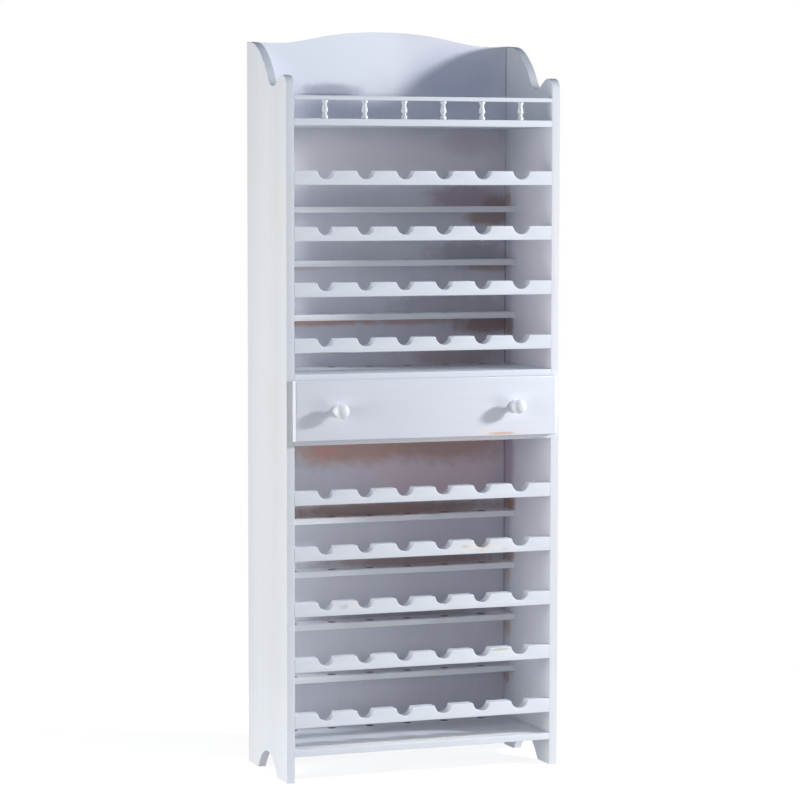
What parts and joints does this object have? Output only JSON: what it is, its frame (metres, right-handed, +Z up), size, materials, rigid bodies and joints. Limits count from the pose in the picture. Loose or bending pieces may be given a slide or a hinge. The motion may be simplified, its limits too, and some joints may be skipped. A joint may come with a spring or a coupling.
{
  "type": "wine cabinet",
  "caption": "Tall free-standing wine rack cabinet in white painted pine: notched bottle rails above and below a knobbed drawer, scrolled sides, curved crest and a spindle gallery.",
  "frame": {"origin": "on the floor, in the middle of the width, midway between the tips of the knobs and the back", "axes": "+X to the right as seen from the front, +Y from the front to the back, +Z up"},
  "size_m": [0.7, 0.3592, 1.7985],
  "materials": {
    "side_paint": "white painted pine, satin, with faint upright grain",
    "back_paint": "white painted pine board, satin, a little worn",
    "shelf_paint": "white painted pine, satin, grain along the length",
    "rail_paint": "white painted pine, satin, worn through to brown on some edges",
    "drawer_paint": "white painted pine, satin, with eased edges",
    "turned_paint": "white painted turned wood, a little glossier than the boards",
    "bare_pine": "bare planed pine",
    "fibreboard": "brown hardboard, smooth on top",
    "zinc_steel": "zinc-plated wood screw"
  },
  "bodies": {
    "carcass": {"side_panel_left": "side_paint", "side_panel_right": "side_paint", "back_panel": "back_paint", "bottom_shelf": "shelf_paint", "shelf_under_drawer": "shelf_paint", "shelf_over_drawer": "shelf_paint", "top_shelf": "shelf_paint", "gallery_rail": "rail_paint", "gallery_spindle_1": "turned_paint", "gallery_spindle_2": "turned_paint", "gallery_spindle_3": "turned_paint", "gallery_spindle_4": "turned_paint", "gallery_spindle_5": "turned_paint", "gallery_spindle_6": "turned_paint", "bottle_rail_front_1": "rail_paint", "bottle_rail_front_2": "rail_paint", "bottle_rail_front_3": "rail_paint", "bottle_rail_front_4": "rail_paint", "bottle_rail_front_5": "rail_paint", "bottle_rail_front_6": "rail_paint", "bottle_rail_front_7": "rail_paint", "bottle_rail_front_8": "rail_paint", "bottle_rail_front_9": "rail_paint", "bottle_rail_rear_1": "rail_paint", "bottle_rail_rear_2": "rail_paint", "bottle_rail_rear_3": "rail_paint", "bottle_rail_rear_5": "rail_paint", "bottle_rail_rear_6": "rail_paint", "bottle_rail_rear_7": "rail_paint", "bottle_rail_rear_8": "rail_paint", "drawer_runner_left": "bare_pine", "drawer_runner_right": "bare_pine", "runner_screw_left_1": "zinc_steel", "runner_screw_left_2": "zinc_steel", "runner_screw_right_1": "zinc_steel", "runner_screw_right_2": "zinc_steel", "back_screw_left_1": "zinc_steel", "back_screw_left_2": "zinc_steel", "back_screw_left_3": "zinc_steel", "back_screw_left_4": "zinc_steel", "back_screw_right_1": "zinc_steel", "back_screw_right_2": "zinc_steel", "back_screw_right_3": "zinc_steel", "back_screw_right_4": "zinc_steel"},
    "drawer": {"drawer_front": "drawer_paint", "drawer_side_left": "bare_pine", "drawer_side_right": "bare_pine", "drawer_back": "bare_pine", "drawer_bottom": "fibreboard", "drawer_bottom_screw": "zinc_steel", "knob_left": "turned_paint", "knob_screw_left": "zinc_steel", "knob_right": "turned_paint", "knob_screw_right": "zinc_steel"}
  },
  "joints": [
    {"name": "drawer_slide", "type": "slide", "parent": "carcass", "child": "drawer", "axis": [0, -1, 0], "range_m": [0, 0.2]}
  ]
}
